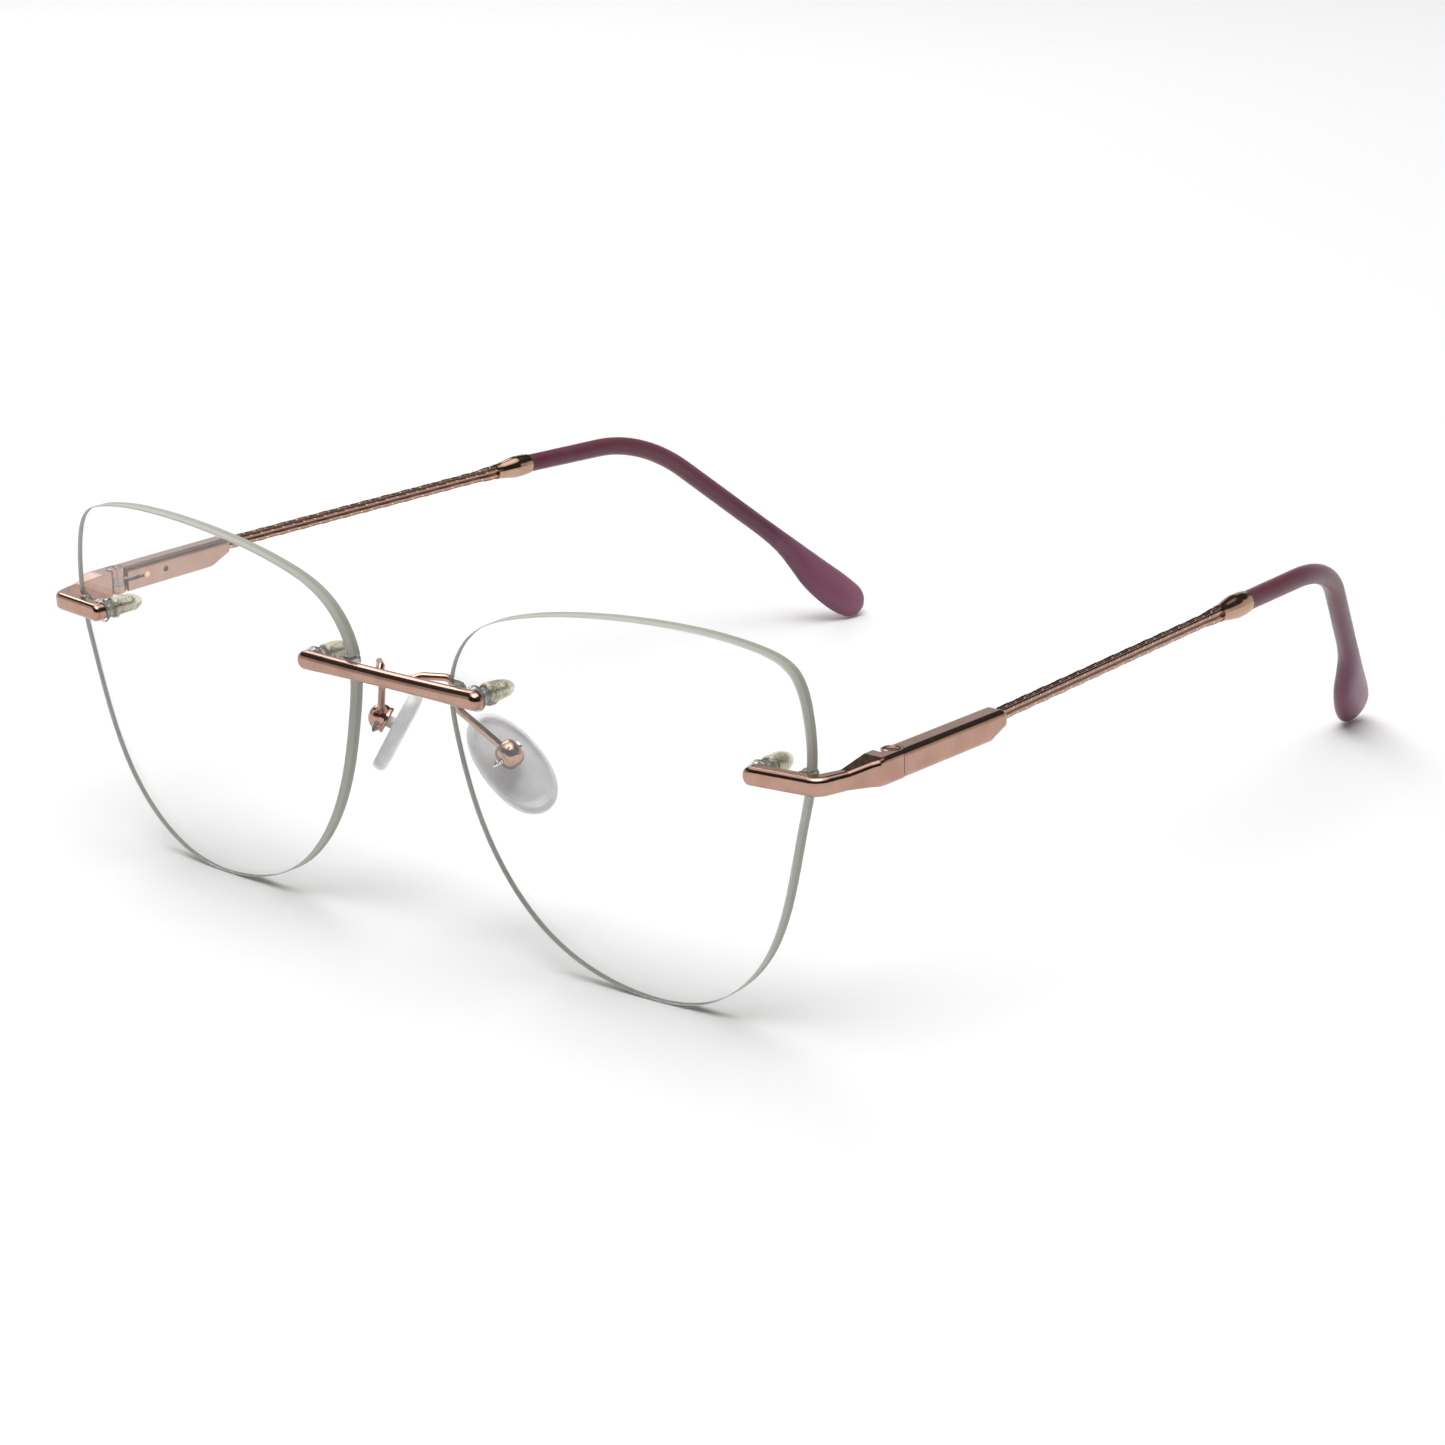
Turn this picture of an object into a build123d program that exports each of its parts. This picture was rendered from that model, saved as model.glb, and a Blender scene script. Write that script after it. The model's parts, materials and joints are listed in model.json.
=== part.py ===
"""Rimless eyeglasses: two drilled lenses held by a bridge bar and two endpieces, nose pads on wire
arms, and temples on sprung hinges.

Millimetres. +X is the wearer's left, the front faces -Y, the temples run towards +Y and +Z is up.
The glasses stand on the lower lens edges and on the temple tips, at Z = 0. The origin is the centre
of that footprint, on the mirror plane X = 0. Only the left half is modelled: the right is its mirror.
"""
from build123d import *
from math import cos, radians, sin, sqrt
import os

os.makedirs("parts", exist_ok=True)

# ---------------------------------------------------------------- driving dimensions
front = -71.79  # Y of the bridge bar's middle plane

# lenses
lens_centre = (42.2, front + 2.1, 27.898)  # on the front surface
lens_tilt = 1.7  # degrees, top edge forward
lens_wrap = 4.0  # degrees, outer edge backward
lens_radius = 290  # front surface
lens_thickness = 2.0
lens_hole = 1.9  # diameter
notch_width = 1.7
lens_chamfer = 0.15

# bridge bar
bar_length = 31.8
bar_height_middle = 2.1
bar_height_end = 2.45
bar_depth = 1.6
bar_z = 34.3
bar_front_rounding = 0.98
bar_back_rounding = 0.3

# lens fixings: x, z of the drilled hole and x of the notch in the lens edge
nasal_fixing = (14.1, bar_z)
nasal_notch_x = 9.7
temporal_fixing = (57.4, 32.8)
temporal_notch_x = 62.8
stud_diameter = 1.1
stud_root = 0.6  # length soldered into the bar
washer_diameter = 3.3
washer_thickness = 0.85
cap_diameter = 2.9
cap_length = 4.7
cap_rounding = 1.3
ring_depth = 0.9  # groove round the stud behind the lens
ring_width = 0.5
ring_groove = 0.15
pin_diameter = 0.9  # of the plain pin in the notch
pin_length_behind = 0.6
sleeve_overhang = 0.35  # of the clear notch sleeve, each side of the lens
fit_gap = 0.02
cutter = 4  # reach of a cut that passes right through

# endpieces
end_height = 2.3
end_depth = 1.6
end_z = 32.8
corner_x = 66.8  # of the outer corner, before rounding
inner_overhang = 1.4  # of the bar's end past the stud
knuckle_length = 3.2
swell_length = 8.0  # from the pivot to where the arm starts to swell
swell_inner_x = 66.4  # of the inner wall there
shoulder_length = 5.0  # from the pivot to the step in the outer wall
shoulder_rise = 1.0  # length of that step
shoulder_depth = 0.45
relief_length = 1.7  # flat cut back inside the knuckles
corner_rounding = 2.4
inner_corner_rounding = 1.2
swell_rounding = 2.0
inner_wall_rounding = 1.5
end_outer_rounding = 0.65

# sprung hinges
pivot = (67.3, front + 14.6)
outer_face = 69.1
inner_face = 65.9
block_height = 3.4
block_slope = 3.0  # length of the slanted rear of the underside
block_end_drop = 0.45  # of the rear face below the middle
block_z = 32.8
knuckle_radius = 1.3
eye_radius = 1.25
eye_height = 1.2
eye_gap = 0.05  # above and below the eye
hinge_screw_diameter = 1.2
screw_head_radius = 1.05
screw_head_height = 0.5
driver_slot = 0.25  # width of the slots in the screw heads
running_gap = 0.02
seam_gap = 0.08
knuckle_gap = 0.1
inner_clearance = 1.1  # behind the pivot, for the inner corner that swings past the endpiece
channel_diameter = 2.1
slider_width = 1.6
slider_length = 3.0
rod_diameter = 0.9
rod_length = 10.8
nut_diameter = 1.7
nut_length = 1.0
bush_start = 3.4
bush_length = 2.0
lock_diameter = 0.8
second_pin_offset = 3.2  # from the lock pin to the blind hole behind it
inner_slot_height = 0.5
inner_slot_length = 3.8
block_corner_rounding = 0.7
block_outer_rounding = 0.8
block_inner_rounding = 0.3
channel_spare = 0.8  # behind the rod's end
nut_travel = 0.6  # free space between the spring and the nut
rod_overlap = 0.3  # of the round rod and the flat slider
spring_diameter = 1.45  # mean diameter of the coil
spring_wire = 0.28
spring_turns = 10

# temples
block_end = front + 34.0
arm_start = (67.3, block_end, 33.35)
arm_end = (64.2, front + 83.2, 33.2)
arm_height = 1.8
arm_width = 1.4
arm_rounding = 0.45
ferrule_length = 6.3
ferrule_diameter = 3.2
sleeve_diameter = 2.8
mouth_radius = 1.2  # of the ferrule's front end
lip_radius = sleeve_diameter / 2 + 0.1
bulge_distance = 2.4  # of the ferrule's thickest place from its lip
core_socket = 2.0  # depth of the core wire in the ferrule
core_diameter = 1.2
bend_corner = (61.6, front + 112.0, 32.6)
tip_end = (46.4, front + 143.3, 2.717)
bend_radius = 22
paddle_length = 20.5
paddle_thickness = 3.0
paddle_rounding = 1.2
core_overlap = 1.5  # of the core wire in the flared end
sleeve_overlap = 3.0  # of the round sleeve in the flared end

# nose pads
pad_box_centre = (11.9, front + 9.2, 24.9)
pad_long_axis = (0.65, 0.17, -0.73)  # down the pad
pad_normal = (-0.70, 0.51, -0.50)  # towards the nose
box_radius = 1.6
pad_length = 14.6
pad_width = 7.7
pad_thickness = 2.0
pad_face = 2.8  # from the screw's axis to the pad's middle plane
pad_drop = 0.8  # the pad's middle below the screw
pad_screw_diameter = 1.0
pad_screw_head = 1.5
pad_screw_head_height = 0.3
pad_screw_point = 1.1  # length of the screw past the box
pad_rounding = 0.85
lug_radius = 0.85
lug_width = 1.5
lug_thickness = 1.1
pocket_width = 2.1
pocket_thickness = 1.2
box_rim = 1.0  # from the box's centre to its open face
pad_arm_diameter = 0.95
pad_arm_bend = 1.1
pad_arm_route = [
    (1.7, front, bar_z),
    (3.5, front + 2.1, 34.9),
    (6.2, front + 4.3, 34.6),
    (7.2, front + 5.4, 30.8),
    pad_box_centre,
]


# ---------------------------------------------------------------- shared geometry
def lens_frame():
    """The plane that touches the left lens at its centre, with its normal to the front."""
    ct, st = cos(radians(lens_tilt)), sin(radians(lens_tilt))
    cw, sw = cos(radians(lens_wrap)), sin(radians(lens_wrap))
    return Plane(origin=lens_centre, x_dir=(cw, sw * ct, sw * st), z_dir=(sw, -cw * ct, -cw * st))


lens_plane = lens_frame()
curvature_centre = lens_plane.origin - lens_plane.z_dir * lens_radius


def fixing_plane(x, z):
    """The plane that touches the lens front at x, z, with its normal to the back."""
    dx, dz = x - curvature_centre.X, z - curvature_centre.Z
    y = curvature_centre.Y - sqrt(lens_radius**2 - dx**2 - dz**2)
    point = Vector(x, y, z)
    return Plane(origin=point, x_dir=(1, 0, 0), z_dir=curvature_centre - point)


nasal_plane = fixing_plane(*nasal_fixing)
nasal_notch_plane = fixing_plane(nasal_notch_x, nasal_fixing[1])
temporal_plane = fixing_plane(*temporal_fixing)
temporal_notch_plane = fixing_plane(temporal_notch_x, temporal_fixing[1])
hole_planes = [nasal_plane, temporal_plane]
notch_planes = [nasal_notch_plane, temporal_notch_plane]


def save(builder, name):
    builder.part.label = name
    export_step(builder.part, f"parts/{name}.step")


def save_pair(builder, name):
    """Write the left piece, then its mirror image as the right one."""
    save(builder, "left_" + name)
    twin = mirror(builder.part, about=Plane.YZ)
    twin.label = "right_" + name
    export_step(twin, f"parts/right_{name}.step")


# ---------------------------------------------------------------- lenses
with BuildPart() as lens:
    with BuildSketch(lens_plane):
        with BuildLine():
            Spline(
                (20.3, 0.0), (21.4, 5.5), (21.2, 12.0), (19.3, 17.0), (14.0, 19.2), (4.6, 20.1),
                (-9.4, 19.5), (-21.8, 17.3), (-29.6, 13.7), (-33.3, 7.6), (-32.9, 0.0),
                (-28.3, -13.6), (-19.6, -23.4), (-8.0, -27.6), (4.0, -26.7), (13.0, -19.8), (17.8, -9.4),
                periodic=True,
            )
        make_face()
    extrude(amount=6, both=True)
    with Locations(curvature_centre):
        Sphere(lens_radius, rotation=(0, 0, 90), mode=Mode.INTERSECT)
        Sphere(lens_radius - lens_thickness, rotation=(0, 0, 90), mode=Mode.SUBTRACT)
    for hole_plane in hole_planes:
        with BuildSketch(hole_plane):
            Circle(lens_hole / 2)
        extrude(amount=cutter, both=True, mode=Mode.SUBTRACT)
    for notch_plane, outward in zip(notch_planes, (-1, 1)):
        with BuildSketch(notch_plane):
            Circle(notch_width / 2)
            with Locations((cutter / 2 * outward, 0)):
                Rectangle(cutter, notch_width)
        extrude(amount=cutter, both=True, mode=Mode.SUBTRACT)
    polished_faces = lens.faces().filter_by(GeomType.SPHERE)
    chamfer(polished_faces.edges(), lens_chamfer)
save_pair(lens, "lens")

# ---------------------------------------------------------------- bridge bar
bar_back = nasal_plane.origin.Y - washer_thickness
with BuildPart() as bridge_bar:
    with BuildSketch(Plane.XZ.offset(-bar_back)):
        half = bar_length / 2 - bar_height_end / 2
        with BuildLine():
            ThreePointArc(
                (-half, bar_z + bar_height_end / 2), (0, bar_z + bar_height_middle / 2),
                (half, bar_z + bar_height_end / 2),
            )
            ThreePointArc(
                (half, bar_z + bar_height_end / 2), (bar_length / 2, bar_z),
                (half, bar_z - bar_height_end / 2),
            )
            ThreePointArc(
                (half, bar_z - bar_height_end / 2), (0, bar_z - bar_height_middle / 2),
                (-half, bar_z - bar_height_end / 2),
            )
            ThreePointArc(
                (-half, bar_z - bar_height_end / 2), (-bar_length / 2, bar_z),
                (-half, bar_z + bar_height_end / 2),
            )
        make_face()
    extrude(amount=bar_depth)
    fillet(bridge_bar.faces().sort_by(Axis.Y)[0].edges(), bar_front_rounding)
    fillet(bridge_bar.faces().sort_by(Axis.Y)[-1].edges(), bar_back_rounding)
    for plane, diameter in ((nasal_plane, stud_diameter), (nasal_notch_plane, pin_diameter)):
        with BuildSketch(plane.offset(-washer_thickness - stud_root)):
            Circle(diameter / 2)
        extrude(amount=stud_root + washer_thickness / 2, mode=Mode.SUBTRACT)
    mirror(about=Plane.YZ, mode=Mode.INTERSECT)
save(bridge_bar, "bridge_bar")

# ---------------------------------------------------------------- endpieces
# The front bar lies along the lens, a washer's thickness in front of it.
stud_axis = temporal_plane.z_dir
bar_along = Vector(stud_axis.Y, -stud_axis.X, 0).normalized()
bar_front = temporal_plane.origin - stud_axis * (washer_thickness + end_depth)
bar_back_point = temporal_plane.origin - stud_axis * washer_thickness
inner_end = bar_front - bar_along * inner_overhang
inner_end_back = bar_back_point - bar_along * inner_overhang
corner = bar_front + bar_along * ((corner_x - bar_front.X) / bar_along.X)
back_corner = bar_back_point + bar_along * ((corner_x - end_depth - bar_back_point.X) / bar_along.X)
seam_y = pivot[1]
relief_y = seam_y - relief_length
knuckle_start = seam_y - knuckle_length
swell_start = seam_y - swell_length
shoulder_start = seam_y - shoulder_length

with BuildPart() as endpiece:
    with BuildSketch(Plane.XY.offset(end_z - block_height / 2)):
        with BuildLine():
            Polyline(
                (inner_end.X, inner_end.Y),
                (corner.X, corner.Y),
                (outer_face - shoulder_depth, shoulder_start),
                (outer_face, shoulder_start + shoulder_rise),
                (outer_face, seam_y),
                (pivot[0], seam_y),
                (pivot[0], relief_y),
                (inner_face, relief_y),
                (inner_face, knuckle_start),
                (swell_inner_x, swell_start),
                (back_corner.X, back_corner.Y),
                (inner_end_back.X, inner_end_back.Y),
                close=True,
            )
        make_face()
        fillet(vertices().sort_by_distance((corner.X, corner.Y))[0], corner_rounding)
        fillet(vertices().sort_by_distance((back_corner.X, back_corner.Y))[0], inner_corner_rounding)
        fillet(vertices().sort_by_distance((swell_inner_x, swell_start))[0], inner_wall_rounding)
        with Locations(pivot):
            Circle(knuckle_radius)
    extrude(amount=block_height)
    # the front bar and the arm are lower than the knuckles
    with BuildSketch(Plane.YZ):
        with BuildLine():
            Polyline(
                (front - 3, end_z + end_height / 2),
                (swell_start, end_z + end_height / 2),
                (knuckle_start, end_z + block_height / 2),
                (seam_y + 3, end_z + block_height / 2),
                (seam_y + 3, end_z - block_height / 2),
                (knuckle_start, end_z - block_height / 2),
                (swell_start, end_z - end_height / 2),
                (front - 3, end_z - end_height / 2),
                close=True,
            )
        make_face()
        fillet(vertices().filter_by(lambda v: front < v.Y < seam_y), swell_rounding)
    extrude(amount=outer_face + 1, mode=Mode.INTERSECT)
    # rounded inner end
    end_face = faces().filter_by(lambda f: f.center().X < inner_end.X + 0.1).sort_by(Axis.X)[0]
    fillet(end_face.edges().filter_by(lambda e: abs(e.tangent_at(0).Z) < 0.1), end_height / 2 - 0.1)
    # rounded long edges of the outer wall
    outer_wall = faces().filter_by(
        lambda f: abs(f.normal_at().Z) < 0.1 and f.normal_at().X - f.normal_at().Y > 0.5
    )
    long_edges = ShapeList(
        e for f in outer_wall for e in f.edges()
        if abs(e.tangent_at(0.5).Z) < 0.8 and inner_end.X + 1.3 < e.center().X and e.center().Y < seam_y - 0.1
    )
    fillet(long_edges, end_outer_rounding)
    # slot for the eye of the slider, open behind and inside
    slot_height = eye_height + 2 * eye_gap
    with BuildSketch(Plane.XY.offset(end_z - slot_height / 2)):
        with Locations(pivot):
            Circle(eye_radius + knuckle_gap)
        with Locations((pivot[0] - 2, seam_y), (pivot[0], seam_y + 2)):
            Rectangle(4, 2 * (eye_radius + knuckle_gap))
    extrude(amount=slot_height, mode=Mode.SUBTRACT)
    # screw hole with a recess for its head
    with Locations((pivot[0], pivot[1], end_z + block_height / 2)):
        CounterBoreHole(hinge_screw_diameter / 2 + running_gap, screw_head_radius, screw_head_height)
    # roots of the stud and of the notch pin
    for plane, diameter in ((temporal_plane, stud_diameter), (temporal_notch_plane, pin_diameter)):
        with BuildSketch(plane.offset(-washer_thickness - stud_root)):
            Circle(diameter / 2)
        extrude(amount=stud_root + washer_thickness / 2, mode=Mode.SUBTRACT)
save_pair(endpiece, "endpiece")

# ---------------------------------------------------------------- lens fixings
# Each lens has a drilled hole and an edge notch at both sides. A stud goes through the hole, with a
# clear flanged bush in front and a clear cap pushed on behind; a plain pin sits in the notch.
def both_sides(builder):
    """The solids of the left fixings with their mirror images."""
    return builder.part.solids() + mirror(builder.part, about=Plane.YZ).solids()


with BuildPart() as half_studs:
    for plane in hole_planes:
        with BuildSketch(plane.offset(-washer_thickness - stud_root)):
            Circle(stud_diameter / 2)
        extrude(amount=stud_root + washer_thickness + lens_thickness + cap_length - cap_rounding)
        with BuildSketch(plane.offset(lens_thickness + ring_depth)):
            Circle(stud_diameter / 2)
            Circle(stud_diameter / 2 - ring_groove, mode=Mode.SUBTRACT)
        extrude(amount=ring_width, mode=Mode.SUBTRACT)
with BuildPart() as lens_studs:
    add(both_sides(half_studs))
save(lens_studs, "lens_studs")

with BuildPart() as half_bushes:
    for plane in hole_planes:
        with BuildSketch(plane.offset(-washer_thickness + 2 * fit_gap)):
            Circle(washer_diameter / 2)
        extrude(amount=washer_thickness - 2.5 * fit_gap)
        with BuildSketch(plane.offset(-fit_gap)):
            Circle(lens_hole / 2 - fit_gap / 2)
        extrude(amount=lens_thickness)
        with BuildSketch(plane):
            Circle(stud_diameter / 2)
        extrude(amount=cutter, both=True, mode=Mode.SUBTRACT)
with BuildPart() as lens_bushes:
    add(both_sides(half_bushes))
save(lens_bushes, "lens_bushes")

with BuildPart() as half_caps:
    for plane in hole_planes:
        with BuildSketch(plane.offset(lens_thickness + fit_gap)):
            Circle(cap_diameter / 2)
        extrude(amount=cap_length)
        domed_end = faces(Select.LAST).sort_by(Axis(plane.origin, plane.z_dir))[-1]
        fillet(domed_end.edges(), cap_rounding)
        with BuildSketch(plane.offset(lens_thickness)):
            Circle(stud_diameter / 2)
        extrude(amount=cap_length - cap_rounding + fit_gap, mode=Mode.SUBTRACT)
with BuildPart() as lens_caps:
    add(both_sides(half_caps))
save(lens_caps, "lens_caps")

with BuildPart() as half_pins:
    for plane in notch_planes:
        with BuildSketch(plane.offset(-washer_thickness - stud_root)):
            Circle(pin_diameter / 2)
        extrude(amount=stud_root + washer_thickness + lens_thickness + pin_length_behind)
with BuildPart() as notch_pins:
    add(both_sides(half_pins))
save(notch_pins, "notch_pins")

with BuildPart() as half_sleeves:
    for plane in notch_planes:
        with BuildSketch(plane.offset(-sleeve_overhang)):
            Circle(notch_width / 2 - fit_gap)
            Circle(pin_diameter / 2, mode=Mode.SUBTRACT)
        extrude(amount=lens_thickness + 2 * sleeve_overhang)
with BuildPart() as notch_sleeves:
    add(both_sides(half_sleeves))
save(notch_sleeves, "notch_sleeves")

# ---------------------------------------------------------------- nose pads
pad_plane = Plane(origin=pad_box_centre, x_dir=pad_long_axis, z_dir=pad_normal)
screw_plane = Plane(origin=pad_box_centre, x_dir=pad_plane.x_dir, z_dir=pad_plane.y_dir)
with BuildPart() as pad_box:
    with Locations(pad_plane):
        Sphere(box_radius)
        with Locations((0, 0, box_rim + box_radius)):
            Box(cutter, cutter, 2 * box_radius, mode=Mode.SUBTRACT)
        with Locations((0, 0, box_rim - 1)):
            Box(pocket_width, pocket_thickness, cutter, mode=Mode.SUBTRACT)
    with BuildSketch(screw_plane):
        Circle(pad_screw_diameter / 2)
    extrude(amount=cutter, both=True, mode=Mode.SUBTRACT)
    with BuildSketch(screw_plane.offset(-box_radius + pad_screw_head_height)):
        Circle(pad_screw_head / 2)
    extrude(amount=-cutter, mode=Mode.SUBTRACT)
save_pair(pad_box, "pad_box")

with BuildPart() as left_pad_screw:
    with BuildSketch(screw_plane.offset(-box_radius)):
        Circle(pad_screw_head / 2)
    extrude(amount=pad_screw_head_height)
    with BuildSketch(screw_plane.offset(-box_radius)):
        Circle(pad_screw_diameter / 2)
    extrude(amount=2 * box_radius + pad_screw_point)
    point_face = left_pad_screw.faces().sort_by(Axis(screw_plane.origin, screw_plane.z_dir))[-1]
    chamfer(point_face.edges(), driver_slot)
    with BuildSketch(screw_plane.offset(-box_radius)):
        Rectangle(2 * pad_screw_head, driver_slot)
    extrude(amount=driver_slot, mode=Mode.SUBTRACT)
with BuildPart() as pad_screws:
    add(both_sides(left_pad_screw))
save(pad_screws, "pad_screws")

with BuildPart() as pad_arm:
    with BuildLine() as arm_line:
        FilletPolyline(*pad_arm_route, radius=pad_arm_bend)
    with BuildSketch(Plane(origin=arm_line.line @ 0, z_dir=arm_line.line % 0)):
        Circle(pad_arm_diameter / 2)
    sweep()
    with Locations(pad_plane):
        Sphere(box_radius, mode=Mode.SUBTRACT)
    with Locations((0, bar_back - 1, bar_z)):
        Box(bar_length, 2, 6, mode=Mode.SUBTRACT)
save_pair(pad_arm, "pad_arm")

with BuildPart() as nose_pad:
    with BuildSketch(pad_plane.offset(pad_face - pad_thickness / 2)):
        with Locations((pad_drop, 0)):
            Ellipse(pad_length / 2, pad_width / 2)
    extrude(amount=pad_thickness)
    fillet(nose_pad.edges(), pad_rounding)
    with BuildSketch(screw_plane.offset(-lug_thickness / 2)):
        Circle(lug_radius)
        with Locations((0, -pad_face / 2)):
            Rectangle(lug_width, pad_face)
    extrude(amount=lug_thickness)
    with BuildSketch(screw_plane):
        Circle(pad_screw_diameter / 2 + running_gap)
    extrude(amount=cutter, both=True, mode=Mode.SUBTRACT)
save_pair(nose_pad, "nose_pad")

# ---------------------------------------------------------------- sprung hinges
with BuildPart() as hinge_screw:
    with Locations((pivot[0], pivot[1], block_z)):
        Cylinder(hinge_screw_diameter / 2, block_height - 0.1)
        with Locations((0, 0, block_height / 2 - screw_head_height / 2)):
            Cylinder(screw_head_radius - running_gap, screw_head_height - 0.04)
        with Locations((0, 0, block_height / 2)):
            Box(cutter, driver_slot, screw_head_height, mode=Mode.SUBTRACT)
save_pair(hinge_screw, "hinge_screw")

rod_end = slider_length + rod_length
with BuildPart() as hinge_slider:
    with BuildSketch(Plane.XY.offset(block_z - eye_height / 2)):
        with Locations(pivot):
            Circle(eye_radius)
        with Locations((pivot[0], pivot[1] + slider_length / 2)):
            Rectangle(slider_width, slider_length)
        with Locations(pivot):
            Circle(hinge_screw_diameter / 2 + running_gap, mode=Mode.SUBTRACT)
    extrude(amount=eye_height)
    with BuildSketch(Plane.XZ.offset(-(pivot[1] + slider_length - rod_overlap))):
        with Locations((pivot[0], block_z)):
            Circle(rod_diameter / 2)
    extrude(amount=-(rod_length + rod_overlap))
save_pair(hinge_slider, "hinge_slider")


def along_rod(start, length, outer, inner):
    """A turned piece on the rod: its start from the pivot, its length and its two diameters."""
    with BuildPart() as ring:
        with BuildSketch(Plane.XZ.offset(-(pivot[1] + start))):
            with Locations((pivot[0], block_z)):
                Circle(outer / 2)
                Circle(inner / 2, mode=Mode.SUBTRACT)
        extrude(amount=-length)
    return ring


slider_nut = along_rod(rod_end - nut_length, nut_length, nut_diameter, rod_diameter)
save_pair(slider_nut, "slider_nut")

slide_bush = along_rod(bush_start, bush_length, channel_diameter, rod_diameter + 2 * running_gap)
save_pair(slide_bush, "slide_bush")

spring_start = bush_start + bush_length + spring_wire / 2
spring_length = rod_end - nut_length - spring_start - nut_travel
with BuildPart() as slide_spring:
    with BuildLine() as coil:
        Helix(
            spring_length / spring_turns, spring_length, spring_diameter / 2,
            center=(pivot[0], pivot[1] + spring_start, block_z), direction=(0, 1, 0),
        )
    with BuildSketch(Plane(origin=coil.line @ 0, z_dir=coil.line % 0)):
        Circle(spring_wire / 2)
    sweep(path=coil.line, is_frenet=True)
save_pair(slide_spring, "slide_spring")

lock_y = pivot[1] + bush_start + bush_length / 2
with BuildPart() as lock_pin:
    with BuildSketch(Plane.YZ.offset(inner_face)):
        with Locations((lock_y, block_z)):
            Circle(lock_diameter / 2)
    extrude(amount=pivot[0] - channel_diameter / 2 + fit_gap - inner_face)
save_pair(lock_pin, "lock_pin")

with BuildPart() as temple_block:
    with BuildSketch(Plane.YZ.offset(inner_face)):
        with BuildLine():
            Polyline(
                (seam_y + seam_gap, block_z - block_height / 2),
                (block_end - block_slope, block_z - block_height / 2),
                (block_end, block_z - block_end_drop),
                (block_end, block_z + block_height / 2 - 0.1),
                (seam_y + seam_gap, block_z + block_height / 2),
                close=True,
            )
        make_face()
    extrude(amount=outer_face - inner_face)
    fillet(temple_block.edges().filter_by(Axis.Z).group_by(Axis.Y)[-1], block_corner_rounding)
    # rounded long edges: large outside, small inside
    for wall, rounding in ((Axis.X, block_outer_rounding), (-Axis.X, block_inner_rounding)):
        side_face = temple_block.faces().filter_by(Axis.X).sort_by(wall)[-1]
        fillet(side_face.edges().filter_by(lambda e: e.center().Y > seam_y + 0.5), rounding)
    # round front cut around the knuckles, and the inner corner that swings past the endpiece
    with BuildSketch(Plane.XY.offset(block_z - block_height)):
        with Locations(pivot):
            Circle(knuckle_radius + knuckle_gap)
            with Locations((-cutter / 2, 0)):
                Rectangle(cutter, 2 * inner_clearance)
    extrude(amount=2 * block_height, mode=Mode.SUBTRACT)
    # channel for the slider, spring and nut
    with BuildSketch(Plane.XZ.offset(-seam_y)):
        with Locations((pivot[0], block_z)):
            Circle(channel_diameter / 2)
    extrude(amount=-(rod_end + channel_spare), mode=Mode.SUBTRACT)
    # slot in the inner wall, and the holes of the lock pin
    with BuildSketch(Plane.YZ.offset(inner_face - 1)):
        with Locations((seam_y + inner_slot_length / 2, block_z)):
            Rectangle(inner_slot_length, inner_slot_height)
        with Locations((lock_y, block_z), (lock_y + second_pin_offset, block_z)):
            Circle(lock_diameter / 2)
    extrude(amount=2, mode=Mode.SUBTRACT)
save_pair(temple_block, "temple_block")

# ---------------------------------------------------------------- temples
arm_direction = (Vector(*arm_end) - Vector(*arm_start)).normalized()
arm_length = (Vector(*arm_end) - Vector(*arm_start)).length
arm_plane = Plane(origin=arm_start, x_dir=(1, 0, 0), z_dir=arm_direction)
with BuildPart() as temple_arm:
    with BuildSketch(arm_plane):
        RectangleRounded(arm_width, arm_height, arm_rounding)
    extrude(amount=arm_length)
    with Locations((pivot[0], block_end - 1, block_z)):
        Box(cutter, 2, 2 * cutter, mode=Mode.SUBTRACT)
save_pair(temple_arm, "temple_arm")

ferrule_plane = Plane(origin=arm_end, x_dir=(1, 0, 0), z_dir=arm_direction)
sleeve_start = ferrule_plane.origin + ferrule_plane.z_dir * ferrule_length
with BuildPart() as ferrule:
    with BuildSketch(Plane(origin=arm_end, x_dir=ferrule_plane.x_dir, z_dir=-ferrule_plane.y_dir)):
        with BuildLine():
            Polyline(
                (mouth_radius, 0), (0, 0), (0, ferrule_length), (lip_radius, ferrule_length),
            )
            Spline(
                (lip_radius, ferrule_length), (ferrule_diameter / 2, ferrule_length - bulge_distance),
                (mouth_radius, 0),
            )
        make_face()
    revolve(axis=Axis(ferrule_plane.origin, ferrule_plane.z_dir))
    with BuildSketch(ferrule_plane.offset(ferrule_length - core_socket)):
        Circle(core_diameter / 2)
    extrude(amount=2 * core_socket, mode=Mode.SUBTRACT)
save_pair(ferrule, "ferrule")

tip_route = [sleeve_start, Vector(*bend_corner), Vector(*tip_end)]
down = (tip_route[2] - tip_route[1]).normalized()
paddle_start = tip_route[2] - down * (paddle_length - 1.2)
level = (tip_route[1] - tip_route[0]).normalized()
paddle_plane = Plane(origin=paddle_start, x_dir=down, z_dir=level.cross(down))
core_end = paddle_start + down * core_overlap


def tip_path(start, end):
    """The line of a temple tip: nearly level behind the ear's top, then down behind the ear."""
    return FilletPolyline(start, tip_route[1], end, radius=bend_radius)


with BuildPart() as core_wire:
    with BuildLine() as core_line:
        tip_path(sleeve_start, core_end)
    with BuildSketch(Plane(origin=core_line.line @ 0, z_dir=core_line.line % 0)):
        Circle(core_diameter / 2)
    sweep()
    with BuildSketch(ferrule_plane.offset(ferrule_length - core_socket)):
        Circle(core_diameter / 2)
    extrude(amount=core_socket)
save_pair(core_wire, "core_wire")

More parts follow.
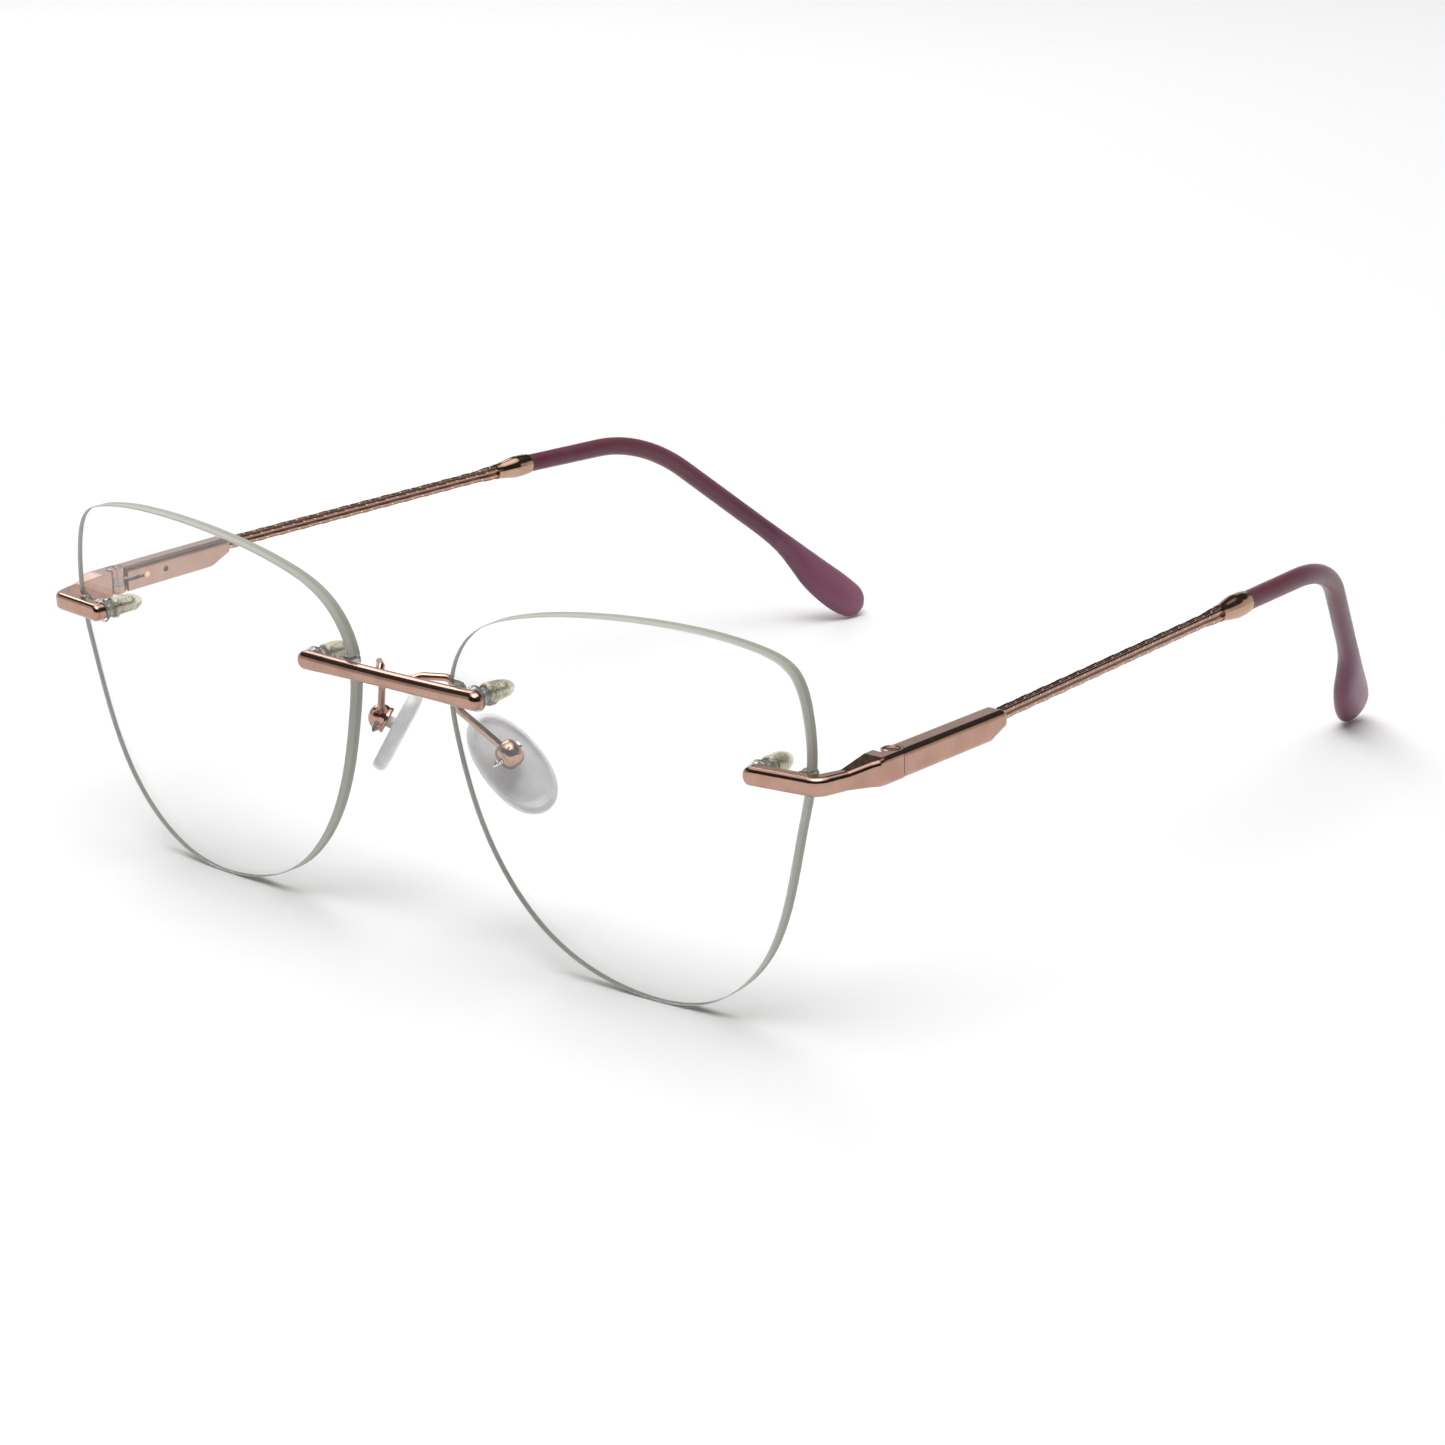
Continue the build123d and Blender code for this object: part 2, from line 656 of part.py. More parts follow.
with BuildPart() as paddle:
    with BuildSketch(paddle_plane.offset(-paddle_thickness / 2)):
        with BuildLine():
            Spline(
                (0, 1.35), (3.5, 1.9), (6.5, 3.0), (9.5, 4.2), (13, 4.7), (17.5, 4.5), (20.2, 2.9),
                (20.9, 0.6), (19.6, -1.5), (14, -1.8), (7, -1.6), (0, -1.35),
                tangents=((1, 0), (-1, 0)),
            )
            Line((0, -1.35), (0, 1.35))
        make_face()
    extrude(amount=paddle_thickness)
    broad_faces = paddle.faces().sort_by(Axis(paddle_start, paddle_plane.z_dir))
    rims = broad_faces[0].edges() + broad_faces[-1].edges()
    fillet(rims.filter_by(GeomType.BSPLINE), paddle_rounding)

with BuildPart() as temple_tip:
    with BuildLine() as tip_line:
        tip_path(sleeve_start, paddle_start + down * sleeve_overlap)
    with BuildSketch(Plane(origin=tip_line.line @ 0, z_dir=tip_line.line % 0)):
        Circle(sleeve_diameter / 2)
    sweep()
    add(paddle.part)
    add(core_wire.part, mode=Mode.SUBTRACT)
    add(ferrule.part, mode=Mode.SUBTRACT)
save_pair(temple_tip, "temple_tip")
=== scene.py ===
"""Rimless eyeglasses on a pale floor: the CAD pieces with their finishes, and detailed meshes in place
of the lens fixings, nose pads and their boxes, screws, woven arms, ferrules and temple tips. Lengths
are in metres.

Only the left half is described: each piece on that side is also made mirrored in the plane X = 0.
"""
import json
from math import cos, pi, radians, sin, sqrt

import bmesh
import bpy
from mathutils import Matrix, Vector


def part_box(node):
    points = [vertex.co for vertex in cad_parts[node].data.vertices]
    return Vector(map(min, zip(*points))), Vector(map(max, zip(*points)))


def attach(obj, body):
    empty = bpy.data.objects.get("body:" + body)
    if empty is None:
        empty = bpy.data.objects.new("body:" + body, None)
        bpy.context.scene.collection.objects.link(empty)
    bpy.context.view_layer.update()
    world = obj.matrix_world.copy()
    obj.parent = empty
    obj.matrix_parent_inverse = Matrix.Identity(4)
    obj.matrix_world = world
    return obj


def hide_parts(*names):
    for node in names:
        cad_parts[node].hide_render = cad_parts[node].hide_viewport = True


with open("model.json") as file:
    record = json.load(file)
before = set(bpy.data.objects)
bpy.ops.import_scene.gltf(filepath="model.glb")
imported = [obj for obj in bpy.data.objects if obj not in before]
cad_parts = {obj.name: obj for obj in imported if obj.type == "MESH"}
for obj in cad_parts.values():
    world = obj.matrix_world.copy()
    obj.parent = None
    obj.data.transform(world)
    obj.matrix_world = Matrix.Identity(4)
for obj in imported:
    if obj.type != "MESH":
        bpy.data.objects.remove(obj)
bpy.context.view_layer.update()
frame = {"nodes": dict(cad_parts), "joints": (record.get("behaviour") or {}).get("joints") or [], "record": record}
joints = {joint["name"]: joint for joint in frame["joints"]}
mounts = {mount["name"]: mount for mount in frame["record"]["mounts"]}
SIDES = (("left", 1), ("right", -1))
mm = 0.001

# ---------------------------------------------------------------- sizes
# lens fixings, along each stud from its front end
STUD_ROOT = 0.6 * mm  # the stretch inside the bar
WASHER_THICKNESS = 0.85 * mm
LENS_THICKNESS = 2.0 * mm
LENS_FRONT = STUD_ROOT + WASHER_THICKNESS
LENS_BACK = LENS_FRONT + LENS_THICKNESS
WASHER_RADIUS = 1.65 * mm
WASHER_STEP = 0.84  # share of its radius behind the step
BARREL_RADIUS = 0.93 * mm
STUD_RADIUS = 0.55 * mm
THREAD_START = 0.3 * mm  # behind the lens
THREAD_PITCH = 0.5 * mm
THREAD_RIDGES = 5
THREAD_CORE = 0.8  # share of the stud's radius
CAP_RADIUS = 1.45 * mm
CAP_LENGTH = 4.7 * mm
CAP_MOUTH = 0.5 * mm  # length of the stepped stretch at its open end
CAP_STEPS = 14
CAP_BLUNTNESS = 2.6  # the larger, the longer it keeps its full width
CAP_ROUNDNESS = 0.6  # the smaller, the rounder its end
PIN_RADIUS = 0.45 * mm
SLEEVE_RADIUS = 0.83 * mm
SLEEVE_OVERHANG = 0.35 * mm

# lenses
LENS_CENTRE = Vector((42.2, -69.69, 27.898)) * mm  # of the left front surface
LENS_FACING = Vector((0.06976, -0.99713, -0.02959))
LENS_RADIUS = 290 * mm
CURVATURE_CENTRE = LENS_CENTRE - LENS_FACING * LENS_RADIUS
POLISHED_FACING = 0.9  # cosine of the angle to the lens axis; below it, a face belongs to the ground rim

# nose pads
PAD_LENGTH = 14.6 * mm
PAD_WIDTH = 7.7 * mm
PAD_THICKNESS = 2.0 * mm
PAD_DROP = 0.8 * mm
PAD_FACE = 2.8 * mm
PAD_SQUARENESS = 2.15  # of its outline: 2 is an ellipse
PAD_EGG = 0.06  # how much wider its lower end is
LUG_HALF_LENGTH = 0.75 * mm
LUG_HALF_WIDTH = 0.52 * mm
LUG_SQUARENESS = 5
BOX_RADIUS = 1.6 * mm
BOX_SQUARENESS = 2.6
PAD_SCREW_RADIUS = 0.5 * mm
PAD_SCREW_HEAD_RADIUS = 0.75 * mm
PAD_SCREW_HEAD_HEIGHT = 0.3 * mm
PAD_SCREW_POINT = 1.1 * mm
PAD_SCREW_SLOT = (2 * mm, 0.25 * mm, 0.4 * mm)  # the box that is cut out of the head's face

# hinge screws
SCREW_RADIUS = 0.6 * mm
SCREW_HEAD_RADIUS = 1.03 * mm
SCREW_HEAD_HEIGHT = 0.48 * mm
SCREW_SLOT = (3 * mm, 0.26 * mm, 0.5 * mm)
SCREW_SLOT_TURN = radians(25)

# temples
ARM_WIDTH = 1.4 * mm
ARM_HEIGHT = 1.8 * mm
ARM_ROUNDNESS = 0.72  # of its section: 1 is an ellipse, less is squarer
ARM_STEPS = 720  # along its length
WEAVE_ROWS = 8
ROW_POINTS = 9  # across each row
WEAVE_PITCH = 1.9 * mm
WEAVE_SLANT = 0.35  # of a strand across its row, as a share of the pitch
WEAVE_DEPTH = 0.16 * mm
WEAVE_STRAND = 0.72  # height of a strand, as a share of the bead's
WEAVE_BEAD = 0.25 * mm  # radius of the bright bead between two strands
WEAVE_BEAD_WIDTH = 1 / 1.2  # share of its row's width
WEAVE_SCALLOP = 0.06 * mm
ARM_FLARE = 0.22  # growth of the arm's section where it meets the ferrule
ARM_FLARE_LENGTH = 5 * mm
FERRULE_LENGTH = 6.3 * mm
FERRULE_STEPS = 32
FERRULE_RECESS = 0.3 * mm
GRIP_FROM_SLEEVE = 6 * mm  # from the sleeve's start to the middle of the cord grip
BEND_CORNER = Vector((61.6, 40.21, 32.6)) * mm
TIP_END = Vector((46.4, 71.51, 2.717)) * mm
BEND_RADIUS = 22 * mm
PADDLE_START = 19.3 * mm  # before the tip's end
PADDLE_LENGTH = 20.75 * mm
PADDLE_CLOSING = 13.5 * mm  # where its outline starts to close
PADDLE_END_SHIFT = 0.9 * mm  # of the end's middle, to the front
PADDLE_END_POWER = 0.45  # roundness of the end
TIP_STEP = 0.5 * mm  # between its rings
TIP_POINTS = 40  # in each ring

# stage
FLOOR_REACH = 12  # from the middle to each edge
DARK_SIDE = (0.67, -0.74, 0)  # direction of the sky's dark side: in front and to the wearer's left
CAMERA_PLACE = (0.3515, -0.39776, 0.1815)
CAMERA_AZIMUTH = radians(42.32)
CAMERA_ELEVATION = radians(17.90)
CAMERA_ROLL = radians(-2.18)
SENSOR_WIDTH = 36  # in millimetres, as is the focal length
FOCAL_LENGTH = 102.1


# ---------------------------------------------------------------- meshes
def skin(rings, closed_ends=True):
    """The points and faces of a tube through rings of as many points each."""
    count = len(rings[0])
    points = [point for ring in rings for point in ring]
    faces = []
    for start in range(0, len(points) - count, count):
        for j in range(count):
            k = (j + 1) % count
            faces.append((start + j, start + k, start + count + k, start + count + j))
    if closed_ends:
        faces.append(tuple(reversed(range(count))))
        faces.append(tuple(range(len(points) - count, len(points))))
    return points, faces


def across(axis):
    """Two directions at right angles to an axis and to each other."""
    axis = axis.normalized()
    first = axis.cross(Vector((0, 0, 1)))
    if first.length < 0.1:
        first = axis.cross(Vector((1, 0, 0)))
    first.normalize()
    return first, axis.cross(first)


def lathe(origin, axis, profile, count=48, loop=False):
    """A turned piece from pairs of distance along the axis and radius; loop joins the last to the first."""
    first, second = across(axis)
    axis = axis.normalized()
    rings = []
    for distance, radius in profile:
        centre = origin + axis * distance
        turn = [2 * pi * j / count for j in range(count)]
        rings.append([centre + (first * cos(a) + second * sin(a)) * radius for a in turn])
    if loop:
        rings.append(rings[0])
    return skin(rings, closed_ends=not loop)


def rounded(profile, radius, steps=4):
    """A profile with its inner corners rounded by an arc-like curve."""
    result = [profile[0]]
    for before, here, after in zip(profile, profile[1:], profile[2:]):
        a, b, c = Vector(before), Vector(here), Vector(after)
        reach = min(radius, (a - b).length / 2, (c - b).length / 2)
        start = b + (a - b).normalized() * reach
        end = b + (c - b).normalized() * reach
        for step in range(steps + 1):
            t = step / steps
            result.append(tuple(start * (1 - t) ** 2 + b * 2 * t * (1 - t) + end * t**2))
    result.append(profile[-1])
    return result


def together(*shapes):
    """Several shapes as one."""
    points, faces = [], []
    for shape_points, shape_faces in shapes:
        offset = len(points)
        points += shape_points
        faces += [tuple(i + offset for i in face) for face in shape_faces]
    return points, faces


def mirrored(point):
    return Vector((-point.x, point.y, point.z))


def with_mirror_image(shape):
    """A shape and its mirror image in the plane X = 0, as one."""
    points, faces = shape
    return together(shape, ([mirrored(point) for point in points], faces))


def smooth_between(table, x):
    """The value at x of a smooth curve through the table's pairs."""
    if x <= table[0][0]:
        return table[0][1]
    if x >= table[-1][0]:
        return table[-1][1]
    i = max(k for k in range(len(table) - 1) if table[k][0] <= x)

    def slope(k):
        low, high = max(k - 1, 0), min(k + 1, len(table) - 1)
        return (table[high][1] - table[low][1]) / (table[high][0] - table[low][0])

    (x0, y0), (x1, y1) = table[i], table[i + 1]
    width = x1 - x0
    t = (x - x0) / width
    return (
        y0 * (1 + 2 * t) * (1 - t) ** 2 + y1 * t**2 * (3 - 2 * t)
        + width * t * (1 - t) * (slope(i) * (1 - t) - slope(i + 1) * t)
    )


def finish_mesh(bm, name, sharp_angle):
    """A mesh object from bm, smooth but for edges sharper than the angle in degrees."""
    mesh = bpy.data.meshes.new(name)
    bmesh.ops.recalc_face_normals(bm, faces=bm.faces)
    bm.to_mesh(mesh)
    bm.free()
    if "custom_normal" in mesh.attributes:
        mesh.attributes.remove(mesh.attributes["custom_normal"])
    mesh.shade_smooth()
    mesh.set_sharp_from_angle(angle=radians(sharp_angle))
    piece = bpy.data.objects.new(name, mesh)
    bpy.context.scene.collection.objects.link(piece)
    return piece


def declare(piece, finish, body, replaced=()):
    """Gives a piece its material and its body, and hides the CAD nodes that it stands for."""
    if not piece.data.materials:
        piece.data.materials.append(finish)
    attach(piece, body)
    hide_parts(*replaced)
    return piece


def shape_object(name, shape, sign=1, sharp_angle=40, values=None):
    """An object from points and faces, mirrored when sign is -1; values are its points' colouring values."""
    points, faces = shape
    bm = bmesh.new()
    layer = bm.verts.layers.float.new("shade") if values else None
    verts = [bm.verts.new((sign * p.x, p.y, p.z)) for p in points]
    if values:
        for vert, value in zip(verts, values):
            vert[layer] = value
    for face in faces:
        bm.faces.new([verts[i] for i in face])
    return finish_mesh(bm, name, sharp_angle)


def both_sides(name, shape, finish, body, nodes=(), sharp_angle=40, values=None):
    """The piece on each side; body and nodes are named without their side."""
    for side, sign in SIDES:
        piece = shape_object(f"{side}_{name}", shape, sign, sharp_angle, values)
        owner = body if body == "front" else f"{side}_{body}"
        declare(piece, finish, owner, [f"{side}_{node}" for node in nodes])


def cut(piece, size, centre, turn, sharp_angle=35):
    """Cuts a turned box out of a piece."""
    bm = bmesh.new()
    bmesh.ops.create_cube(bm, size=1, matrix=Matrix.Translation(centre) @ turn @ Matrix.Diagonal((*size, 1)))
    cutter = finish_mesh(bm, "cutter", sharp_angle)
    modifier = piece.modifiers.new("cut", "BOOLEAN")
    modifier.operation = "DIFFERENCE"
    modifier.solver = "EXACT"
    modifier.object = cutter
    result = bpy.data.meshes.new_from_object(piece.evaluated_get(bpy.context.evaluated_depsgraph_get()))
    piece.modifiers.clear()
    piece.data = result
    piece.data.shade_smooth()
    piece.data.set_sharp_from_angle(angle=radians(sharp_angle))
    bpy.data.objects.remove(cutter)


# ---------------------------------------------------------------- materials
NOISE_LOW, NOISE_HIGH = 0.3, 0.7  # nearly all values of the noise lie between these


def full_colour(colour):
    """An RGBA colour from a grey number or three numbers."""
    rgb = (colour,) * 3 if isinstance(colour, (int, float)) else colour
    return (*rgb, 1)


def set_stops(ramp, stops):
    """Gives a colour ramp node its pairs of position and colour."""
    elements = ramp.color_ramp.elements
    for element, (position, colour) in zip(elements, stops):
        element.position = position
        element.color = full_colour(colour)
    for position, colour in stops[2:]:
        elements.new(position).color = full_colour(colour)


class Finish:
    """A Principled material with short ways to add its textures."""

    def __init__(self, name, **sockets):
        self.material = bpy.data.materials.new(name)
        self.material.use_nodes = True
        self.nodes = self.material.node_tree.nodes
        self.shader = self.nodes["Principled BSDF"]
        for socket, value in sockets.items():
            self.shader.inputs[socket.replace("_", " ")].default_value = value

    def link(self, output, target):
        self.material.node_tree.links.new(output, target)

    def node(self, kind, **settings):
        made = self.nodes.new("ShaderNode" + kind)
        for setting, value in settings.items():
            setattr(made, setting, value)
        return made

    def noise(self, per_mm, detail=3.0, stretch=(1, 1, 1)):
        """Noise with so many features to the millimetre."""
        place = self.node("TexCoord")
        mapping = self.node("Mapping")
        mapping.inputs["Scale"].default_value = [per_mm / mm * s for s in stretch]
        texture = self.node("TexNoise")
        texture.inputs["Scale"].default_value = 1
        texture.inputs["Detail"].default_value = detail
        self.link(place.outputs["Object"], mapping.inputs["Vector"])
        self.link(mapping.outputs["Vector"], texture.inputs["Vector"])
        return texture.outputs["Fac"]

    def shade(self):
        """The mesh's colouring value: on the temple tips its share along them, on the woven arms the relief's
        height, which places painted shade and painted glints.
        """
        return self.node("Attribute", attribute_name="shade").outputs["Fac"]

    def below_front_surface(self):
        """Share of the lens thickness behind its front surface, by distance from the centre of curvature."""
        place = self.node("TexCoord")
        parts = self.node("SeparateXYZ")
        left = self.node("Math", operation="ABSOLUTE")
        mirrored = self.node("CombineXYZ")
        distance = self.node("VectorMath", operation="DISTANCE")
        distance.inputs[1].default_value = CURVATURE_CENTRE
        spread = self.node("MapRange")
        spread.inputs["From Min"].default_value = LENS_RADIUS
        spread.inputs["From Max"].default_value = LENS_RADIUS - LENS_THICKNESS
        self.link(place.outputs["Object"], parts.inputs["Vector"])
        self.link(parts.outputs["X"], left.inputs[0])
        self.link(left.outputs[0], mirrored.inputs["X"])
        self.link(parts.outputs["Y"], mirrored.inputs["Y"])
        self.link(parts.outputs["Z"], mirrored.inputs["Z"])
        self.link(mirrored.outputs["Vector"], distance.inputs[0])
        self.link(distance.outputs["Value"], spread.inputs["Value"])
        return spread.outputs["Result"]

    def ramp(self, value, *stops):
        """A colour or a number for each position of value."""
        ramp = self.node("ValToRGB")
        set_stops(ramp, stops)
        self.link(value, ramp.inputs["Fac"])
        return ramp.outputs["Color"]

    def mix(self, share, first, second):
        """A blend of two colours, each three numbers or another node's output."""
        mixer = self.node("Mix", data_type="RGBA")
        self.link(share, mixer.inputs["Factor"])
        for socket, value in ((mixer.inputs[6], first), (mixer.inputs[7], second)):
            if isinstance(value, tuple):
                socket.default_value = full_colour(value)
            else:
                self.link(value, socket)
        return mixer.outputs[2]

    def colour(self, output):
        self.link(output, self.shader.inputs["Base Color"])

    def number(self, value, low, high, socket):
        """Drives a socket with a noise, spread from low to high."""
        spread = self.node("MapRange")
        spread.inputs["From Min"].default_value = NOISE_LOW
        spread.inputs["From Max"].default_value = NOISE_HIGH
        spread.inputs["To Min"].default_value = low
        spread.inputs["To Max"].default_value = high
        self.link(value, spread.inputs["Value"])
        self.link(spread.outputs["Result"], self.shader.inputs[socket])

    def bump(self, height, distance, strength=1.0):
        bump = self.node("Bump")
        bump.inputs["Distance"].default_value = distance
        bump.inputs["Strength"].default_value = strength
        self.link(height, bump.inputs["Height"])
        self.link(bump.outputs["Normal"], self.shader.inputs["Normal"])


def plated(name, light, dark, roughness=0.13, wear=0.05):
    """Polished plated metal: slight colour drift, uneven polish and hair-fine polishing lines."""
    finish = Finish(name, Metallic=1.0)
    finish.colour(finish.ramp(finish.noise(0.35), (0.35, dark), (0.65, light)))
    finish.number(finish.noise(1.5, 5), roughness, roughness + wear, "Roughness")
    finish.bump(finish.noise(14, 2, (1, 0.12, 1)), 0.0012 * mm, 0.5)
    return finish.material


def woven_gold_painted_light():
    """Rose gold in woven relief, with painted light: lighter on the raised strands, a painted glint on each bead
    and painted shade browning the valleys.
    """
    finish = Finish("woven_rose_gold_painted_light", Metallic=1.0)
    # by the relief's height: the near-black valley colour is painted shade and the bright bead colour a painted
    # glint
    valley, strand, bead = (0.06, 0.025, 0.018), (0.40, 0.24, 0.18), (0.95, 0.74, 0.60)
    finish.colour(finish.ramp(finish.shade(), (0.0, valley), (0.70, strand), (0.95, bead)))
    finish.number(finish.noise(3, 4), 0.12, 0.20, "Roughness")
    finish.bump(finish.noise(18, 2), 0.001 * mm, 0.5)
    return finish.material


def turned_steel(name, colour):
    """Bright machined steel with fine rings."""
    finish = Finish(name, Metallic=1.0)
    finish.colour(finish.ramp(finish.noise(2, 4), (0.3, tuple(c * 0.82 for c in colour)), (0.7, colour)))
    finish.number(finish.noise(4, 4), 0.16, 0.30, "Roughness")
    finish.bump(finish.noise(25, 2, (1, 3, 1)), 0.002 * mm, 0.7)
    return finish.material


def clear_plastic():
    """Hard clear plastic, faintly olive, with cloudy streaks."""
    finish = Finish("clear_plastic", Transmission_Weight=0.86, IOR=1.47, Coat_Weight=0.3, Coat_Roughness=0.05)
    finish.colour(finish.ramp(finish.noise(0.9, 3), (0.3, (0.72, 0.70, 0.48)), (0.7, (0.86, 0.84, 0.66))))
    finish.number(finish.noise(3, 3), 0.04, 0.16, "Roughness")
    finish.bump(finish.noise(5, 2), 0.004 * mm, 0.5)
    return finish.material


def washer_plastic():
    """Colourless clear plastic of the flanges and notch sleeves."""
    finish = Finish("washer_plastic", Transmission_Weight=0.9, IOR=1.47)
    finish.colour(finish.ramp(finish.noise(1.2, 3), (0.3, (0.93, 0.94, 0.92)), (0.7, (0.98, 0.98, 0.97))))
    finish.number(finish.noise(4, 3), 0.03, 0.12, "Roughness")
    finish.bump(finish.noise(6, 2), 0.003 * mm, 0.5)
    return finish.material


def silicone():
    """Soft clear silicone, slightly milky, with a satin skin."""
    finish = Finish(
        "silicone", Subsurface_Weight=0.5, Subsurface_Radius=(1, 1, 1), Subsurface_Scale=1.0 * mm, IOR=1.41,
        Coat_Weight=0.5, Coat_Roughness=0.08,
    )
    finish.colour(finish.ramp(finish.noise(0.5, 3), (0.35, (0.68, 0.675, 0.68)), (0.65, (0.76, 0.755, 0.76))))
    finish.number(finish.noise(1.5, 4), 0.26, 0.34, "Roughness")
    finish.bump(finish.noise(1.0, 2), 0.004 * mm, 0.3)
    return finish.material


def lens_clear():
    """Polished clear lens, with the faintest tint and unevenness of its hard coat."""
    finish = Finish("lens_clear", Transmission_Weight=1.0, IOR=1.5)
    finish.colour(finish.ramp(finish.noise(0.03, 2), (0.4, (0.985, 0.99, 0.985)), (0.6, (1.0, 1.0, 1.0))))
    finish.number(finish.noise(0.05, 2), 0.0, 0.004, "Roughness")
    return finish.material


def lens_edge():
    """Ground lens edge: matte, olive behind and paler in front, with faint grinding lines round the rim."""
    finish = Finish("lens_edge", Transmission_Weight=0.25, IOR=1.5)
    depth = finish.below_front_surface()
    tone = finish.ramp(
        depth,
        (0.0, (0.56, 0.55, 0.50)), (0.46, (0.54, 0.53, 0.48)),
        (0.52, (0.35, 0.37, 0.29)), (1.0, (0.42, 0.44, 0.36)),
    )
    fine, coarse = finish.noise(0.9, 3), finish.noise(0.12, 2)
    finish.colour(finish.mix(fine, tone, finish.mix(coarse, tone, (0.50, 0.50, 0.45))))
    finish.number(finish.noise(2, 3), 0.40, 0.55, "Roughness")
    finish.bump(finish.noise(9, 2, (0.3, 4, 0.3)), 0.004 * mm, 0.5)
    return finish.material


def mauve_tip():
    """Translucent satin mauve: warmer in front, plum where it flares, rosy at its end."""
    finish = Finish(
        "mauve_tip", Transmission_Weight=0.4, IOR=1.46, Coat_Weight=0.1, Coat_Roughness=0.2,
        Specular_IOR_Level=0.25,
    )
    along = finish.ramp(
        finish.shade(),
        (0.0, (0.17, 0.014, 0.035)), (0.40, (0.22, 0.075, 0.085)),
        (0.70, (0.16, 0.055, 0.095)), (1.0, (0.40, 0.14, 0.23)),
    )
    finish.colour(finish.mix(finish.noise(0.25, 3), along, (0.23, 0.085, 0.14)))
    finish.number(finish.noise(1.2, 4), 0.28, 0.40, "Roughness")
    finish.bump(finish.noise(3, 3), 0.006 * mm, 0.5)
    return finish.material


def core_metal():
    """The wire in the temple tip, plated and dark red behind the sleeve."""
    finish = Finish("core_metal", Metallic=0.7)
    finish.colour(finish.ramp(finish.noise(0.8, 3), (0.35, (0.16, 0.02, 0.04)), (0.65, (0.30, 0.05, 0.08))))
    finish.number(finish.noise(2, 3), 0.25, 0.40, "Roughness")
    return finish.material


def floor_paint():
    """Matte white, with the slightest drift in its brightness."""
    finish = Finish("floor", Roughness=0.9, Specular_IOR_Level=0.0)
    finish.colour(finish.ramp(finish.noise(0.002, 2), (0.3, 0.90), (0.7, 0.92)))
    return finish.material


ROSE_GOLD = plated("rose_gold", (0.49, 0.30, 0.235), (0.43, 0.255, 0.195))
PALE_GOLD = plated("pale_gold", (0.52, 0.34, 0.24), (0.46, 0.29, 0.195), roughness=0.09)
BRASS = plated("turned_brass", (0.83, 0.62, 0.34), (0.76, 0.54, 0.28), roughness=0.2)
WOVEN_PAINTED_LIGHT = woven_gold_painted_light()
STEEL = turned_steel("bright_steel", (0.74, 0.73, 0.71))
# the hinge sliders' steel is darker and warmer than the rest: painted shade of the knuckle gap where they sit
HINGE_STEEL_PAINTED_SHADE = turned_steel("hinge_steel_painted_shade", (0.40, 0.34, 0.31))
CLEAR = clear_plastic()
WASHER = washer_plastic()
SILICONE = silicone()
LENS = lens_clear()
LENS_EDGE = lens_edge()
MAUVE = mauve_tip()
CORE = core_metal()


# ---------------------------------------------------------------- lenses
def lens_axis(node):
    """The direction that the lens faces: the mean of its front faces' normals."""
    total = Vector()
    for face in frame["nodes"][node].data.polygons:
        if face.normal.y < -POLISHED_FACING:
            total += face.normal * face.area
    return total.normalized()


def paint_lenses():
    """Clear faces and ground rims on the CAD lenses."""
    for side, _ in SIDES:
        node = f"{side}_lens"
        axis = lens_axis(node)
        mesh = frame["nodes"][node].data
        mesh.materials.clear()
        mesh.materials.append(LENS)
        mesh.materials.append(LENS_EDGE)
        for face in mesh.polygons:
            face.material_index = 0 if abs(face.normal.dot(axis)) > POLISHED_FACING else 1


# ---------------------------------------------------------------- lens fixings
def left_islands(node):
    """Front point, axis and length of each thin loose part of a node on the left side."""
    bm = bmesh.new()
    bm.from_mesh(frame["nodes"][node].data)
    bmesh.ops.remove_doubles(bm, verts=bm.verts, dist=0.001 * mm)
    seen, found = set(), []
    for seed in bm.verts:
        if seed in seen:
            continue
        island, stack = [], [seed]
        seen.add(seed)
        while stack:
            vert = stack.pop()
            island.append(vert.co.copy())
            for edge in vert.link_edges:
                other = edge.other_vert(vert)
                if other not in seen:
                    seen.add(other)
                    stack.append(other)
        lowest, highest = min(p.y for p in island), max(p.y for p in island)
        middle = (lowest + highest) / 2
        fronts = [p for p in island if p.y < middle]
        backs = [p for p in island if p.y >= middle]
        front = sum(fronts, Vector()) / len(fronts)
        back = sum(backs, Vector()) / len(backs)
        axis = (back - front).normalized()
        reach = [(p - front).dot(axis) for p in island]
        if front.x > 0:
            found.append((front + axis * min(reach), axis, max(reach) - min(reach)))
    bm.free()
    return found


def stud_profile(length):
    """A plain shank through the lens, then a thread and a tapered tip."""
    core = STUD_RADIUS * THREAD_CORE
    profile = [(0, 0.05 * mm), (0, STUD_RADIUS), (LENS_BACK + 0.2 * mm, STUD_RADIUS)]
    for ridge in range(THREAD_RIDGES):
        groove = LENS_BACK + THREAD_START + THREAD_PITCH * ridge
        profile += [(groove, core), (groove + 0.2 * mm, core)]
        profile += [(groove + 0.27 * mm, STUD_RADIUS), (groove + 0.43 * mm, STUD_RADIUS)]
    profile += [(length - 0.25 * mm, STUD_RADIUS * 0.9), (length, STUD_RADIUS * 0.5), (length, 0.05 * mm)]
    return profile


def bush_profile():
    """A stepped washer in front of the lens and a barrel through it, with a bore for the stud."""
    front, step, back = STUD_ROOT + 0.04 * mm, STUD_ROOT + 0.45 * mm, LENS_FRONT - 0.01 * mm
    bore, narrow = STUD_RADIUS * 1.01, WASHER_RADIUS * WASHER_STEP
    profile = [
        (front, bore), (front, WASHER_RADIUS), (step, WASHER_RADIUS), (step + 0.05 * mm, narrow),
        (back, narrow), (back, BARREL_RADIUS), (LENS_BACK, BARREL_RADIUS), (LENS_BACK, bore),
    ]
    return rounded(profile, 0.1 * mm)


